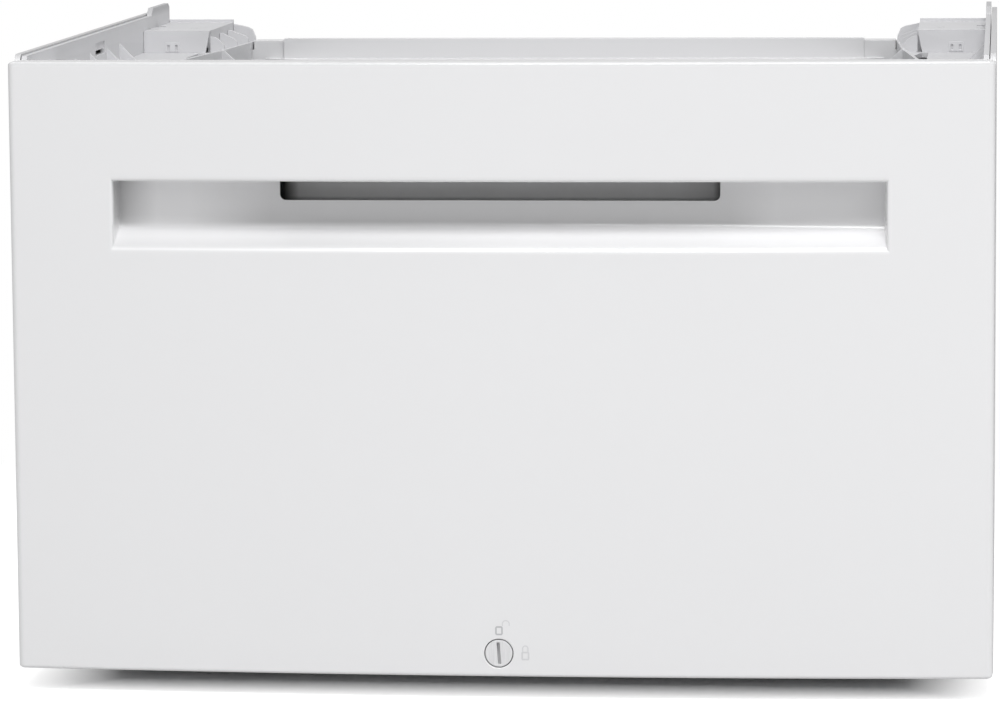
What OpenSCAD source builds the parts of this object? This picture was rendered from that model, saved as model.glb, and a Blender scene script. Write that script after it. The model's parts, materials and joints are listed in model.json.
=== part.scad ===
// Washer pedestal drawer.
// A white steel cabinet carries a washing machine on four moulded platforms
// and holds one deep drawer on telescopic ball slides behind a crowned front.
// Millimetres. Front faces -Y, +Z is up, origin on the floor under the centre.

/* [Overall] */
// Width over the side panels
width = 598; // [592:1:606]
// Depth from the crown of the front panel to the rear screw heads
depth = 560; // [556:1:572]
// Height of the side panels' top edge above the floor
rim_h = 391; // [386:1:396]
// Gap between the floor and the underside of the cabinet
floor_gap = 14; // [14:0.5:16]
// Thickness of the painted and galvanised sheet steel
sheet = 1.2; // [1:0.1:1.2]

/* [Front panel] */
// How far the middle of the front stands ahead of its ends
crown = 10; // [6:0.5:11]
// Depth of the front panel at its middle
panel_t = 28; // [28:0.5:28]
// Wall of the moulded front panel
panel_wall = 2.5; // [2.2:0.1:2.7]
// How far the panel's top edge lies under the rim
panel_drop = 3; // [2.5:0.5:4]

/* [Handle] */
// Width of the handle recess
recess_w = 470; // [440:1:476]
// Height of the recess above its front lower edge
recess_h = 41; // [40:0.5:44]
// Depth of the recess under the crown
recess_d = 22; // [21.6:0.1:22]
// How far the recess's lower edge lies under the panel's top edge
recess_drop = 113; // [112:0.5:114]
// Width of the finger slot in the recess
slot_w = 268; // [240:1:272]
// Height of the finger slot
slot_h = 15; // [13:0.5:15.5]

/* [Drawer] */
// Height of the drawer's sides
drawer_h = 252; // [200:1:255]
// Length of the drawer's sides
drawer_l = 490; // [470:1:490]
// Height of the slides' centre line
slide_z = 120; // [110:1:150]
// Diameter of the slide balls
ball_d = 4; // [4:0.01:4.05]

/* [Lock] */
// Height of the lock's axis above the panel's lower edge
lock_up = 14.6; // [14.4:0.1:15]
// Diameter of the lock knob
knob_d = 16.8; // [16:0.1:17]

/* [Platforms] */
// How far the moulded deck lies under the rim
deck_drop = 25; // [24:0.5:26]
// Height of the washer platforms above the deck
platform_h = 15.3; // [14:0.1:16]
// Diameter of the washer fixing holes
fixing_d = 5; // [4:0.1:6]

/* [Feet] */
// Diameter of the levelling feet
foot_d = 38; // [34:1:40]

/* [Hidden] */
$fn = 48;

WHITE = [0.93, 0.93, 0.94];
ABS = [0.80, 0.80, 0.81];
DARK = [0.22, 0.22, 0.23];
ZINC = [0.66, 0.68, 0.70];
STEEL = [0.60, 0.61, 0.63];
RUBBER = [0.08, 0.08, 0.08];

// Main planes
xo = width / 2;                 // outer face of the sides
yf = -depth / 2;                // crown of the front
yr = depth / 2;                 // rear screw heads
ypb = yf + panel_t;             // back plane of the front panel
yc = ypb + 3;                   // front edge of the cabinet
ye = yr - 2;                    // rear faces of the side panels' flanges
ytr = ye - 2.5;                 // rear end of the top trims
zb = floor_gap;                 // underside of the cabinet
zp1 = rim_h - panel_drop;       // top edge of the front panel
zdk = rim_h - deck_drop;        // top of the deck
zdu = zdk - 3.5;                // underside of the deck
zpl = zdk + platform_h;         // top of the washer platforms
R = (xo * xo + crown * crown) / (2 * crown);   // crown radius
rz0 = zp1 - recess_drop;        // lower front edge of the recess
rz1 = rz0 + recess_h;           // upper edge of the recess
yw = yf + recess_d;             // back wall of the recess
zl = zb + lock_up;              // lock axis
xs = xo - 23;                   // slide mounting plane on each side
zd0 = 48;                       // underside of the drawer box
zd1 = zd0 + drawer_h;           // top of the drawer box
xd = xs - 12.7;                 // outer face of the drawer box
br = ball_d / 2;                // ball radius
xf = xo - 27;                   // foot axis
yft = [-175, 225];              // front and rear foot axes
rail_top = 42;                  // top of the base rails
slide_y0 = -240;                // front end of the slides
slide_len = 490;                // length of each slide member

// ---------- helpers ----------
module bx(x0, x1, y0, y1, z0, z1)
    translate([x0, y0, z0]) cube([x1 - x0, y1 - y0, z1 - z0]);
// outline in (y, z), from x0 to x1
module prism_x(x0, x1, pts)
    translate([x0, 0, 0]) rotate([90, 0, 90]) linear_extrude(x1 - x0) polygon(pts);
// outline in (x, z), from y0 to y1
module prism_y(y0, y1, pts)
    translate([0, y1, 0]) rotate([90, 0, 0]) linear_extrude(y1 - y0) polygon(pts);
// outline in (x, y), from z0 to z1
module prism_z(z0, z1, pts)
    translate([0, 0, z0]) linear_extrude(z1 - z0) polygon(pts);
module cyl_y(x, z, y0, y1, r)
    translate([x, y1, z]) rotate([90, 0, 0]) cylinder(h = y1 - y0, r = r);
module cyl_x(y, z, x0, x1, r)
    translate([x0, y, z]) rotate([0, 90, 0]) cylinder(h = x1 - x0, r = r);
module cyl_z(x, y, z0, z1, r)
    translate([x, y, z0]) cylinder(h = z1 - z0, r = r);
module right() mirror([1, 0, 0]) children();
// cross-recessed screw, head above z = 0
module screw(hr, hh, sr, sl) {
    difference() {
        cylinder(h = hh, r = hr);
        translate([-hr * 0.6, -0.45, hh * 0.35]) cube([hr * 1.2, 0.9, hh]);
        translate([-0.45, -hr * 0.6, hh * 0.35]) cube([0.9, hr * 1.2, hh]);
    }
    translate([0, 0, -sl]) cylinder(h = sl + 0.01, r = sr);
}
module face(dir) {
    if (dir == "down") rotate([180, 0, 0]) children();
    if (dir == "up") children();
    if (dir == "back") rotate([-90, 0, 0]) children();
    if (dir == "in") rotate([0, 90, 0]) children();
    if (dir == "out") rotate([0, -90, 0]) children();
}

// ---------- fastener places ----------
base_sx = [xo - 14];                       // from the centre line
base_sy = [-235, -100, 100, 262];
rear_z = [56, 140, 225, 310];
rear_x = [-150, 0, 150];
slide_sy = [-205, -75, 75, 205];
panel_sp = [[200, 32], [xo - 29, 110], [xo - 29, 235], [200, 372], [70, 372]];

// ---------- cabinet ----------
module side_panel() {
    // The wall, hemmed top edge, front, rear and bottom flanges of one sheet
    difference() {
        union() {
            prism_x(-xo, -xo + 1, [[yc, zb], [yc, rim_h - 7], [yc + 7, rim_h],
                                   [ye, rim_h], [ye, zb]]);
            prism_x(-xo, -xo + 3.5, [[yc + 6, rim_h - 1], [yc + 7, rim_h], [ye - 1, rim_h], [ye - 1, rim_h - 1]]);
            bx(-xo + 2.5, -xo + 3.5, yc + 7, ye - 3, rim_h - 11, rim_h);
            // folded tab that closes the front end of the hem
            prism_x(-xo + 0.5, -xo + 3.5, [[yc, rim_h - 24], [yc, rim_h - 7], [yc + 7, rim_h],
                                           [yc + 8.4, rim_h], [yc + 1.4, rim_h - 7], [yc + 1.4, rim_h - 24]]);
            bx(-xo, -xo + 20, yc, yc + 1, zb, zdu);
            bx(-xo, -xo + 18, ye - 1, ye, zb, zdu);
            bx(-xo, -xo + 54, yc, ye, zb, zb + 1);
        }
        for (y = yft) cyl_z(-xf, y, zb - 1, zb + 2, 7);
        for (y = base_sy) cyl_z(-base_sx[0], y, zb - 1, zb + 2, 2.1);
        for (z = rear_z) cyl_y(-xo + 10, z, ye - 2, ye + 1, 2.1);
    }
}
module left_side_panel() { color(WHITE) side_panel(); }
module right_side_panel() { color(WHITE) right() side_panel(); }

module rear_panel() {
    color(ZINC) difference() {
        union() {
            bx(-xo + 1.2, xo - 1.2, ye - 2.2, ye - 1, zb + 2, zdu - 0.5);
            // swaged stiffening panels
            for (s = [-1, 1]) bx(s * 140 - 105, s * 140 + 105, ye - 3.4, ye - 2.2, 90, 300);
        }
        for (s = [-1, 1]) bx(s * 140 - 97, s * 140 + 97, ye - 2.2, ye, 98, 292);
        for (s = [-1, 1], z = rear_z) cyl_y(s * (xo - 10), z, ye - 4, ye, 2.1);
        for (x = rear_x) cyl_y(x, 28, ye - 4, ye, 2.1);
    }
}

module base_front_rail() {
    color(ZINC) difference() {
        union() {
            bx(-xo + 1.5, xo - 1.5, yc + 1, yc + 1 + sheet, zb + 1, rail_top);
            bx(-xo + 1.5, xo - 1.5, yc + 1, yc + 30, zb + 1, zb + 1 + sheet);
            bx(-xo + 1.5, xo - 1.5, yc + 1, yc + 30, rail_top - sheet, rail_top);
        }
        bx(-4.2, 4.2, yc, yc + 3, zl - 9, zl + 9);
        for (s = [-1, 1]) cyl_y(s * 10.5, zl, yc, yc + 4, 1.5);
        for (s = [-1, 1]) cyl_z(s * base_sx[0], base_sy[0], zb, zb + 4, 2.1);
    }
}
module base_rear_rail() {
    color(ZINC) difference() {
        union() {
            bx(-xo + 1.5, xo - 1.5, ye - 2.4 - sheet, ye - 2.4, zb + 1, rail_top);
            bx(-xo + 1.5, xo - 1.5, ye - 32, ye - 2.4, zb + 1, zb + 1 + sheet);
            bx(-xo + 1.5, xo - 1.5, ye - 32, ye - 2.4, rail_top - sheet, rail_top);
        }
        for (x = rear_x) cyl_y(x, 28, ye - 5, ye, 2.1);
        for (s = [-1, 1]) cyl_z(s * base_sx[0], base_sy[3], zb, zb + 4, 2.1);
    }
}
module base_side_rail() {
    difference() {
        union() {
            bx(-xo + 1.2, -xo + 1.2 + sheet, yc + 31, ye - 33, zb + 1, rail_top);
            bx(-xo + 1.2, -xo + 54, yc + 31, ye - 33, zb + 1, zb + 1 + sheet);
            bx(-xo + 1.2, -xo + 54, yc + 31, ye - 33, rail_top - sheet, rail_top);
        }
        for (y = yft) cyl_z(-xf, y, zb, zb + 4, 5.2);
        for (y = [base_sy[1], base_sy[2]]) cyl_z(-base_sx[0], y, zb, zb + 4, 2.1);
    }
}
module base_left_rail() { color(ZINC) base_side_rail(); }
module base_right_rail() { color(ZINC) right() base_side_rail(); }

module front_cross_rail() {
    color(ZINC) difference() {
        union() {
            bx(-xo + 9, xo - 9, yc + 3, yc + 3 + sheet, zdu - 18, zdu);
            bx(-xo + 9, xo - 9, yc + 3, yc + 27, zdu - sheet, zdu);
            bx(-xo + 9, xo - 9, yc + 3, yc + 27, zdu - 18, zdu - 18 + sheet);
        }
        for (s = [-1, 1]) cyl_z(s * 268, yc + 15, zdu - 3, zdu + 1, 2.1);
    }
}

module rear_cross_rail() {
    color(ABS) difference() {
        union() {
            // beam, open underneath
            bx(-xo + 71.2, xo - 71.2, ye - 20, ye - 2.5, zdk + 0.2, zdk + 3);
            bx(-xo + 71.2, xo - 71.2, ye - 20, ye - 17.5, zdk - 21, zdk + 3);
            bx(-xo + 71.2, xo - 71.2, ye - 5, ye - 2.5, zdk - 21, zdk + 3);
            // raised plate in the middle
            bx(-206, 206, ye - 22.5, ye - 20, zdk - 21, zdk + 4.7);
            bx(-206, 206, ye - 22.5, ye - 16, zdk + 3, zdk + 4.7);
            // bowed shelf with a turned-down lip
            translate([0, 0, zdk - 12]) linear_extrude(2.5) intersection() {
                translate([0, 580]) circle(r = 390, $fn = 240);
                translate([-xo + 71.2, 180]) square([2 * (xo - 71.2), ye - 20 - 180]);
            }
            translate([0, 0, zdk - 18]) linear_extrude(6.5) difference() {
                intersection() {
                    translate([0, 580]) circle(r = 390, $fn = 240);
                    translate([-xo + 71.2, 180]) square([2 * (xo - 71.2), ye - 20 - 180]);
                }
                translate([0, 580]) circle(r = 387.5, $fn = 240);
            }
            // end tabs under the side decks
            for (s = [-1, 1]) {
                bx(min(s * (xo - 37), s * (xo - 71.2)), max(s * (xo - 37), s * (xo - 71.2)),
                   ye - 20, ye - 2.5, zdu - 3.6, zdu - 0.1);
            }
            // end plates behind the side decks' skirts
            for (s = [-1, 1])
                bx(min(s * (xo - 66), s * (xo - 71.4)), max(s * (xo - 66), s * (xo - 71.4)),
                   ye - 20, ye - 17.5, zdk - 21, zdu - 1);
            // stiffening webs inside the beam
            for (x = [-200 : 40 : 200]) bx(x - 1, x + 1, ye - 17.5, ye - 5, zdk - 21, zdk + 0.2);
        }
        for (s = [-1, 1]) cyl_z(s * 238, ye - 12, zdu - 5, zdu + 1, 2.1);
    }
}

module top_beam() {
    bx(-xo + 1, -xo + 47, yc + 29, ye - 22, zdu - 1.3, zdu - 0.1);
    bx(-xo + 1, -xo + 2.2, yc + 29, ye - 22, zdu - 28, zdu - 1.3);
}
module left_top_beam() { color(ZINC) top_beam(); }
module right_top_beam() { color(ZINC) right() top_beam(); }

// x of the deck's inner edge at depth y
function edge_x(y) = y < 45 ? -247 : (y < 170 ? -247 + (y - 45) * 13 / 125
                                              : -234 + (y - 170) * 6 / 105.5);
module ridge_strip(y0, y1, z0, z1)
    prism_z(z0, z1, [[edge_x(y0), y0], [edge_x(y1), y1],
                     [edge_x(y1) - 2.2, y1], [edge_x(y0) - 2.2, y0]]);
module top_trim() {
    difference() {
        union() {
            // inner wall with the raised rear tab
            prism_x(-xo + 4, -xo + 7.5, [[yc, zdu], [yc, rim_h - 8], [yc + 7, rim_h - 1],
                [200, rim_h - 1], [207, rim_h + 4.2], [ytr - 5, rim_h + 4.2],
                [ytr, rim_h + 1.5], [ytr, zdu]]);
            // deck
            prism_z(zdu, zdk, [[-xo + 4, yc], [-247, yc], [-247, 45], [edge_x(170), 170],
                [edge_x(ytr), ytr], [-xo + 4, ytr]]);
            // skirt and raised inner ridge
            bx(-249.2, -247, yc + 31, 45, zdk - 21, zdk);
            ridge_strip(45, 170, zdk - 21, zdk + 2.2);
            ridge_strip(170, ye - 22, zdk - 21, zdk + 2.2);
            ridge_strip(ye - 22, ytr, zdu, zdk + 2.2);
            // gussets against the wall
            for (y = [-88, -35, 25, 73])
                prism_y(y, y + 2.5, [[-xo + 7, zdk - 0.5], [-xo + 19.5, zdk - 0.5], [-xo + 19.5, zdk],
                                     [-xo + 7.5, zdk + 12.2], [-xo + 7, zdk + 12.2]]);
            // gusset on the inner side of the ridge
            prism_y(158, 160.5, [[-236, zdk + 2.2], [-233.6, zdk + 2.2], [-222.5, zdk - 8], [-222.5, zdk - 21], [-236, zdk - 21]]);
            // slanted ribs and end plate between the platform and the ridge
            for (y = [168, 209, 246])
                prism_y(y, y + 2.5, [[-244.8, zdk - 1], [edge_x(y) - 0.6, zdk - 1], [edge_x(y) - 0.6, zdk + 5.2],
                                     [edge_x(y) - 2.4, zdk + 7.2], [-239.5, zdk + 9.8], [-242.2, zdk + 11.1],
                                     [-244.8, zdk + 11.4]]);
            prism_y(ytr - 2.5, ytr, [[-244.8, zdk - 1], [-228.6, zdk - 1], [-229, zdk + 5],
                                     [-231.2, zdk + 10.2], [-234.5, zdk + 12], [-244.8, zdk + 14.2]]);
        }
        // snap window
        bx(-xo + 3, -xo + 8, -15, 20, zdk + 9.5, zdk + 17.5);
        // through slot beside the ridge
        prism_z(zdu - 1, zdk + 1, [[-252.5, 80], [-246.6, 80], [-241.9, 120], [-248, 163], [-252.5, 163]]);
        // screw holes
        cyl_z(-268, yc + 15, zdu - 1, zdk + 1, 2.1);
        cyl_z(-238, ye - 12, zdu - 1, zdk + 1, 2.1);
    }
    // snap hook in the window
    bx(-xo + 4, -xo + 6.2, -8, 20, zdk + 12.3, zdk + 17.5);
}
module left_top_trim() { color(ABS) top_trim(); }
module right_top_trim() { color(ABS) right() top_trim(); }

module platform(y0, y1, rear) {
    difference() {
        union() {
            difference() {
                bx(-xo + 7.7, -245, y0, y1, zdk, zpl);
                bx(-xo + 10.2, -247.5, y0 + 2.5, y1 - 2.5, zdk - 1, zpl - 3);
            }
            // boss around the fixing hole
            cyl_z(-261, rear ? 200 : -185, zdk, zpl - 2, 6);
            // webs inside
            bx(-xo + 9, -246, (y0 + y1) / 2 - 1, (y0 + y1) / 2 + 1, zdk + 2, zpl - 2);
            if (rear) {
                bx(-xo + 7.7, -245, y1 - 2.5, y1, zpl - 1, zpl + 2);
                bx(-276.2, -266.4, y0 - 0.35, y0 + 1, zdk + 0.8, zdk + 7.2);
            }
        }
        cyl_z(-261, rear ? 200 : -185, zdk - 1, zpl + 1, fixing_d / 2);
        if (rear) {
            for (x = [-275, -269.3]) bx(x, x + 1.7, y0 - 3, y0 + 0.5, zdk + 1.8, zdk + 5.4);
            for (y = [[185, 194], [200, 205], [214, 228]])
                bx(-xo + 7, -xo + 14, y[0], y[1], zpl - 6, zpl + 1);
            prism_y(y0 - 1, y0 + 7, [[-248.4, zdk - 1], [-244, zdk - 1], [-244, zpl + 1], [-245.3, zpl - 1.5]]);
        }
    }
}
module rear_left_platform() { color(ABS) platform(167, ytr, true); }
module rear_right_platform() { color(ABS) right() platform(167, ytr, true); }
module front_left_platform() { color(ABS) platform(-217, -152, false); }
module front_right_platform() { color(ABS) right() platform(-217, -152, false); }

// ---------- slides ----------
module slide_bracket() {
    difference() {
        union() {
            bx(-xs - sheet, -xs, yc + 4, ye - 8, slide_z - 28, slide_z + 28);
            bx(-xo + 1, -xs, yc + 4, ye - 8, slide_z - 28, slide_z - 28 + sheet);
            bx(-xo + 1, -xs, yc + 4, ye - 8, slide_z + 28 - sheet, slide_z + 28);
        }
        for (y = slide_sy) cyl_x(y, slide_z, -xs - 3, -xs + 1, 2.1);
    }
}
module left_slide_bracket() { color(ZINC) slide_bracket(); }
module right_slide_bracket() { color(ZINC) right() slide_bracket(); }

module section(pts, y0 = slide_y0, l = slide_len)
    translate([-xs, y0 + l, slide_z]) rotate([90, 0, 0]) linear_extrude(l) polygon(pts);
module slide_outer() difference() {
    section([[0, -22.75], [11.5, -22.75], [11.5, -20.75], [10.3, -20.75], [10.3, -21.55],
             [1.2, -21.55], [1.2, 21.55], [10.3, 21.55], [10.3, 20.75], [11.5, 20.75],
             [11.5, 22.75], [0, 22.75]]);
    for (y = slide_sy) cyl_x(y, slide_z, -xs - 1, -xs + 2, 2.1);
}
module left_slide_cabinet_member() { color(STEEL) slide_outer(); }
module right_slide_cabinet_member() { color(STEEL) right() slide_outer(); }

module slide_middle()
    section([[2.8, -17.4], [11.2, -17.4], [11.2, -16.2], [4, -16.2], [4, 16.2],
             [11.2, 16.2], [11.2, 17.4], [2.8, 17.4]]);
module left_slide_middle_member() { color(STEEL) slide_middle(); }
module right_slide_middle_member() { color(STEEL) right() slide_middle(); }

module slide_inner() difference() {
    section([[12.7, -12.05], [5.6, -12.05], [5.6, -10.85], [11.5, -10.85], [11.5, 10.85],
             [5.6, 10.85], [5.6, 12.05], [12.7, 12.05]], slide_y0, slide_len - 12);
    for (y = slide_sy) cyl_x(y, slide_z, -xs + 10, -xs + 14, 2.1);
}
module left_slide_drawer_member() { color(STEEL) slide_inner(); }
module right_slide_drawer_member() { color(STEEL) right() slide_inner(); }

// Retainer strip with two rows of eight balls. u is the balls' distance from the mounting plane.
module cage(pts, y0, u, zc) {
    difference() {
        section(pts, y0, 160);
        for (i = [0 : 7], s = [-1, 1])
            translate([-xs + u, y0 + 10 + 20 * i, slide_z + s * zc - 1]) cylinder(h = 2, r = br + 0.05);
        bx(-xs, -xs + 8, y0 + 20, y0 + 140, slide_z - 8, slide_z + 8);
    }
    for (i = [0 : 7], s = [-1, 1])
        translate([-xs + u, y0 + 10 + 20 * i, slide_z + s * zc]) sphere(r = br, $fn = 24);
}
module cage_outer() cage([[1.7, -19.9], [9, -19.9], [9, -19.1], [2.3, -19.1], [2.3, 19.1],
                          [9, 19.1], [9, 19.9], [1.7, 19.9]], -60, 6, 19.475);
module cage_inner() cage([[4.5, -14.5], [10.5, -14.5], [10.5, -13.7], [5.1, -13.7], [5.1, 13.7],
                          [10.5, 13.7], [10.5, 14.5], [4.5, 14.5]], -50, 8, 14.125);
module left_outer_ball_cage() { color(STEEL) cage_outer(); }
module right_outer_ball_cage() { color(STEEL) right() cage_outer(); }
module left_inner_ball_cage() { color(STEEL) cage_inner(); }
module right_inner_ball_cage() { color(STEEL) right() cage_inner(); }

// ---------- small cabinet parts ----------
module lock_strike_plate() {
    color(STEEL) difference() {
        bx(-15, 15, yc + 1 + sheet, yc + 1 + sheet + 1.5, zl - 10, rail_top - sheet - 0.1);
        bx(-4.2, 4.2, yc, yc + 5, zl - 9, zl + 9);
        for (s = [-1, 1]) cyl_y(s * 10.5, zl, yc, yc + 5, 1.5);
    }
}
module foot_weld_nuts() {
    color(STEEL) for (s = [-1, 1], y = yft) translate([s * xf, y, zb + 1 + sheet]) difference() {
        cylinder(h = 8, r = 9, $fn = 6);
        translate([0, 0, -1]) cylinder(h = 10, r = 4.98);
    }
}
module foot_lock_nuts() {
    color(STEEL) for (s = [-1, 1], y = yft) translate([s * xf, y, zb - 5.3]) difference() {
        cylinder(h = 5, r = 9, $fn = 6);
        translate([0, 0, -1]) cylinder(h = 7, r = 4.98);
    }
}
module slide_rivets() {
    color(STEEL) for (s = [0, 1], y = slide_sy) mirror([s, 0, 0])
        translate([-xs - sheet, y, slide_z]) face("out") {
            cylinder(h = 1.4, r = 4);
            translate([0, 0, -sheet - 1.2]) cylinder(h = sheet + 1.21, r = 2.08);
        }
}
module base_screws() {
    color(STEEL) for (s = [-1, 1], y = base_sy)
        translate([s * base_sx[0], y, zb]) face("down") screw(4, 1.6, 2, 6);
}
module rear_panel_screws() {
    color(STEEL) {
        for (s = [-1, 1], z = rear_z) translate([s * (xo - 10), ye, z]) face("back") screw(4, 2, 2, 6);
        for (x = rear_x) translate([x, ye - 1, 28]) face("back") screw(4, 2, 2, 6);
    }
}
module deck_screws() {
    color(STEEL) for (s = [-1, 1]) {
        translate([s * 268, yc + 15, zdk]) screw(4, 1.6, 2, 8);
        translate([s * 238, ye - 12, zdk]) screw(4, 1.6, 2, 10);
    }
}

// ---------- drawer front ----------
module crown_plan(r, hw, y1, corner)
    intersection() {
        translate([0, yf + R]) circle(r = r, $fn = 720);
        union() {
            translate([-hw + corner, yf - 5]) square([2 * (hw - corner), y1 - yf + 5]);
            translate([-hw, yf + crown + corner]) square([2 * hw, y1 - yf - crown - corner]);
            for (s = [-1, 1]) translate([s * (hw - corner), yf + crown + corner]) circle(r = corner);
        }
    }
module panel_block()
    translate([0, 0, zb]) linear_extrude(zp1 - zb) crown_plan(R, xo - 0.3, ypb, 4);
module panel_hollow()
    translate([0, 0, zb + panel_wall]) linear_extrude(zp1 - zb - 2 * panel_wall)
        crown_plan(R - panel_wall, xo - 0.3 - panel_wall, ypb + 1, 2.2);
function recess_x(y) = recess_w / 2 - (y - yf - 6) * 0.1;
module recess_space() intersection() {
    prism_x(-260, 260, [[yf - 20, rz0], [yf + 5, rz0], [yw - 6.5, rz0 + 8.4], [yw - 3, rz0 + 11.7],
        [yw - 0.8, rz0 + 15.2], [yw, rz0 + 19.5], [yw, rz1 - 0.4], [yf - 20, rz1]]);
    prism_z(rz0 - 10, rz1 + 10, [[-recess_x(yf - 20), yf - 20], [recess_x(yf - 20), yf - 20],
        [recess_x(yw), yw], [-recess_x(yw), yw]]);
}
module recess_tub() intersection() {
    prism_x(-260, 260, [[yf - 20, rz0 - 2.3], [yf + 6, rz0 - 2.3], [yw - 4.8, rz0 + 6.7],
        [yw - 0.8, rz0 + 10.3], [yw + 1.4, rz0 + 14.6], [yw + 2, rz0 + 19.2], [yw + 2, rz1 + 2.2],
        [yf - 20, rz1 + 2.2]]);
    prism_z(rz0 - 10, rz1 + 10, [[-recess_x(yf - 20) - 2.3, yf - 20], [recess_x(yf - 20) + 2.3, yf - 20],
        [recess_x(yw + 2) + 2.3, yw + 2], [-recess_x(yw + 2) - 2.3, yw + 2]]);
}
module drawer_front_panel() {
    color(WHITE) difference() {
        union() {
            difference() { panel_block(); panel_hollow(); }
            intersection() {
                panel_block();
                union() {
                    recess_tub();
                    for (s = [-1, 1], p = panel_sp) cyl_y(s * p[0], p[1], yf, ypb - 2, 4.5);
                }
            }
        }
        recess_space();
        // finger slot through the back wall and the rear of the recess's roof
        bx(-slot_w / 2, slot_w / 2, yw - 8, yw + 3, rz1 - 13, rz1 - 13 + slot_h + 1);
        // lock hole
        cyl_y(0, zl, yf - 1, yf + panel_wall + 1, knob_d / 2 + 0.5);
        for (s = [-1, 1], p = panel_sp) cyl_y(s * p[0], p[1], ypb - 14, ypb - 1, 2.1);
    }
}
module drawer_inner_panel() {
    color(WHITE) difference() {
        bx(-xo + 3, xo - 3, ypb - 2, ypb, zb + panel_wall + 0.2, zp1 - panel_wall - 0.2);
        bx(-138.3, 138.3, ypb - 3, ypb + 1, rz1 - 17.3, rz1 + 24.3);
        cyl_y(0, zl, ypb - 3, ypb + 1, 5);
        for (s = [-1, 1], p = panel_sp) cyl_y(s * p[0], p[1], ypb - 3, ypb + 1, 2.1);
    }
}
module grip_pocket() {
    color(DARK) difference() {
        union() {
            bx(-138, 138, yw + 2.1, ypb + 18, rz1 - 17, rz1 + 24);
            bx(-146, 146, yw + 2.1, ypb - 2.2, rz1 - 23, rz1 + 28);
        }
        bx(-136, 136, yw, ypb + 16, rz1 - 15, rz1 + 22);
    }
}

// ---------- drawer box ----------
module drawer_side() {
    difference() {
        union() {
            bx(-xd, -xd + 1, ypb, ypb + drawer_l, zd0, zd1);
            bx(-xd, -xd + 9, ypb, ypb + drawer_l, zd1 - 1, zd1);
            bx(-xd + 8, -xd + 9, ypb + 1, ypb + drawer_l - 2, zd1 - 7, zd1);
            bx(-xd, -xd + 9, ypb, ypb + 1, zd0 + 2.4, zd1 - 1);
            bx(-xd, -xd + 12, ypb, ypb + drawer_l, zd0, zd0 + 1);
        }
        for (y = slide_sy) cyl_x(y, slide_z, -xd - 1, -xd + 2, 2.1);
        for (z = [zd0 + 40, zd1 - 40]) cyl_y(-xd + 5, z, ypb - 1, ypb + 2, 2.1);
    }
}
module drawer_left_side() { color(ZINC) drawer_side(); }
module drawer_right_side() { color(ZINC) right() drawer_side(); }
module drawer_back() {
    color(ZINC) {
        bx(-xd + 1.1, xd - 1.1, ypb + drawer_l - 1.1, ypb + drawer_l - 0.1, zd0 + 2.3, zd1 - 8);
        bx(-xd + 1.1, xd - 1.1, ypb + drawer_l - 9, ypb + drawer_l - 0.1, zd1 - 9, zd1 - 8);
    }
}
module drawer_floor() {
    color(ZINC) {
        bx(-xd + 1.1, xd - 1.1, ypb + 0.1, ypb + drawer_l - 0.1, zd0 + 1, zd0 + 2.2);
        // pressed ribs under the floor
        for (y = [-160, -60, 40, 140]) bx(-200, 200, y - 6, y + 6, zd0 - 1.2, zd0 + 1);
    }
}
module drawer_screws() {
    color(STEEL) for (s = [0, 1]) mirror([s, 0, 0])
        for (y = slide_sy) translate([-xd + 1, y, slide_z]) face("in") screw(4, 1.6, 2, 4.5);
}
module panel_screws() {
    color(STEEL) {
        for (s = [-1, 1], p = panel_sp) translate([s * p[0], ypb, p[1]]) face("back") screw(3.8, 1.5, 2, 12);
    }
}
module drawer_bumpers() {
    // pads that meet the cabinet's front flanges
    color(RUBBER) for (s = [-1, 1], z = [60, 340])
        cyl_y(s * (xo - 10), z, ypb, ypb + 2.6, 5);
}

// ---------- lock ----------
module lock_housing() {
    color(ABS) difference() {
        union() {
            cyl_y(0, zl, yf + panel_wall + 0.2, ypb - 2.1, 11);
            bx(-20, 20, ypb - 5, ypb - 2.1, zl - 11, zl + 11);
        }
        cyl_y(0, zl, yf, yf + 7, knob_d / 2 + 0.5);
        cyl_y(0, zl, yf, ypb, 7.06);
    }
}
module lock_knob() {
    color(ABS) difference() {
        union() {
            cyl_y(0, zl, yf + 0.3, yf + 6.5, knob_d / 2);
            cyl_y(0, zl, yf + 6.5, ypb - 2.2, 7);
        }
        bx(-0.95, 0.95, yf, yf + 2.8, zl - 6.7, zl + 6.7);
    }
}
module lock_cam() {
    color(STEEL) {
        cyl_y(0, zl, ypb - 2.2, yc + 4.3, 3);
        bx(-3, 3, yc + 4.3, yc + 7.3, zl - 8, zl + 8);
    }
}
module lock_clip() {
    color(STEEL) difference() {
        cyl_y(0, zl, ypb + 0.3, ypb + 1.1, 6);
        cyl_y(0, zl, ypb, ypb + 2, 3);
        bx(-2.4, 2.4, ypb, ypb + 2, zl - 7, zl - 1);
    }
}

// ---------- feet ----------
module foot(s, y) translate([s * xf, y, 0]) {
    rotate_extrude() polygon([[0, 3], [foot_d / 2, 3], [foot_d / 2, 5], [9, 8], [0, 8]]);
    translate([0, 0, 7.9]) cylinder(h = 30, r = 4.9);
}
module foot_pad(s, y) translate([s * xf, y, 0]) rotate_extrude()
    polygon([[0, 0], [foot_d / 2 - 1, 0], [foot_d / 2 + 0.5, 1.2], [foot_d / 2 + 0.5, 3], [0, 3]]);
module foot_front_left() { color(STEEL) foot(-1, yft[0]); }
module foot_front_right() { color(STEEL) foot(1, yft[0]); }
module foot_rear_left() { color(STEEL) foot(-1, yft[1]); }
module foot_rear_right() { color(STEEL) foot(1, yft[1]); }
module foot_pad_front_left() { color(RUBBER) foot_pad(-1, yft[0]); }
module foot_pad_front_right() { color(RUBBER) foot_pad(1, yft[0]); }
module foot_pad_rear_left() { color(RUBBER) foot_pad(-1, yft[1]); }
module foot_pad_rear_right() { color(RUBBER) foot_pad(1, yft[1]); }

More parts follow.
